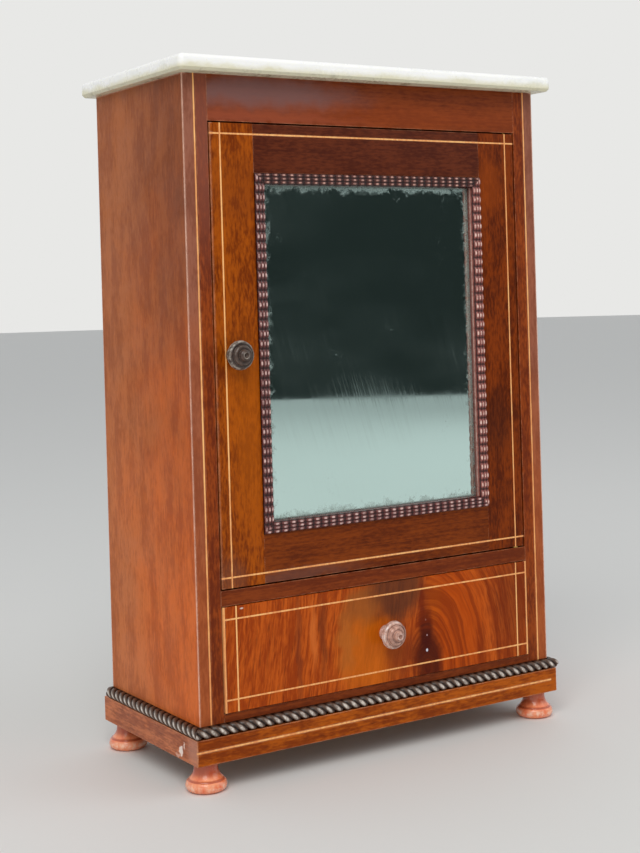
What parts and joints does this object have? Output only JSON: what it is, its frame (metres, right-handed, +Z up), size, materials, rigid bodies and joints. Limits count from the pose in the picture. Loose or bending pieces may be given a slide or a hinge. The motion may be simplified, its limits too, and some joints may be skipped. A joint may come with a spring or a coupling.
{
  "type": "vanity box with mirror",
  "caption": "Small table-top wooden cabinet with a marble top, a mirrored door over a drawer, turned knobs, rope moulding and turned feet.",
  "frame": {"origin": "middle of the footprint, knobs and marble overhang included, on the surface that the feet stand on", "axes": "+X to the viewer's right when facing the door, +Y to the back, +Z up"},
  "size_m": [0.293, 0.1526, 0.4513],
  "materials": {
    "marble": "polished white marble",
    "side_mahogany": "polished mahogany",
    "frame_mahogany": "polished mahogany",
    "door_mahogany": "polished mahogany veneer",
    "flame_veneer": "polished flame mahogany veneer",
    "plinth_mahogany": "polished mahogany",
    "turned_mahogany": "polished turned mahogany",
    "turned_walnut": "polished turned wood",
    "rope_walnut": "dark stained moulding",
    "moulding_mahogany": "polished ripple moulding",
    "boxwood": "boxwood stringing",
    "inner_mahogany": "oiled mahogany",
    "drawer_mahogany": "bare mahogany",
    "inner_pine": "aged pine",
    "back_pine": "aged pine",
    "brass": "aged brass",
    "nail_iron": "dark iron",
    "mirror": "silvered glass with age spots"
  },
  "bodies": {
    "cabinet": {"marble_top": "marble", "side_panel_left": "side_mahogany", "side_panel_right": "side_mahogany", "back_panel": "back_pine", "back_nails": "nail_iron", "top_board": "inner_pine", "divider_board": "inner_pine", "bottom_board": "inner_pine", "shelf": "inner_mahogany", "shelf_bearers": "inner_pine", "stile_left": "frame_mahogany", "stile_right": "frame_mahogany", "top_rail": "frame_mahogany", "middle_rail": "frame_mahogany", "bottom_rail": "frame_mahogany", "side_stringing": "boxwood", "plinth_stringing": "boxwood", "plinth_front": "plinth_mahogany", "plinth_left": "plinth_mahogany", "plinth_right": "plinth_mahogany", "plinth_back": "plinth_mahogany", "plinth_corner_blocks": "inner_pine", "rope_moulding_front": "rope_walnut", "rope_moulding_left": "rope_walnut", "rope_moulding_right": "rope_walnut", "turned_feet": "turned_mahogany", "drawer_guides": "inner_pine", "drawer_stops": "inner_pine", "door_stop": "inner_pine", "pivot_pins": "brass", "pivot_washer": "brass"},
    "door": {"door_stile_left": "door_mahogany", "door_stile_right": "door_mahogany", "door_rail_top": "door_mahogany", "door_rail_bottom": "door_mahogany", "door_stringing": "boxwood", "mirror_moulding_top": "moulding_mahogany", "mirror_moulding_bottom": "moulding_mahogany", "mirror_moulding_left": "moulding_mahogany", "mirror_moulding_right": "moulding_mahogany", "mirror_glass": "mirror", "mirror_backboard": "inner_pine", "glazing_beads": "inner_mahogany", "pivot_bushes": "brass"},
    "latch": {"door_knob": "turned_walnut", "latch_tongue": "brass", "latch_screw": "brass"},
    "drawer": {"drawer_front": "flame_veneer", "drawer_side_left": "drawer_mahogany", "drawer_side_right": "drawer_mahogany", "drawer_back": "drawer_mahogany", "drawer_bottom": "inner_pine", "drawer_stringing": "boxwood", "drawer_lippings": "boxwood", "drawer_knob": "turned_walnut"}
  },
  "joints": [
    {"name": "door_hinge", "type": "hinge", "parent": "cabinet", "child": "door", "pos_m": [0.1148, -0.05455, 0.2671], "axis": [0, 0, 1], "range_deg": [0, 110]},
    {"name": "drawer_slide", "type": "slide", "parent": "cabinet", "child": "drawer", "axis": [0, -1, 0], "range_m": [0, 0.085]},
    {"name": "latch_turn", "type": "hinge", "parent": "door", "child": "latch", "pos_m": [-0.1084, -0.05775, 0.2671], "axis": [0, -1, 0], "range_deg": [0, 90]}
  ]
}
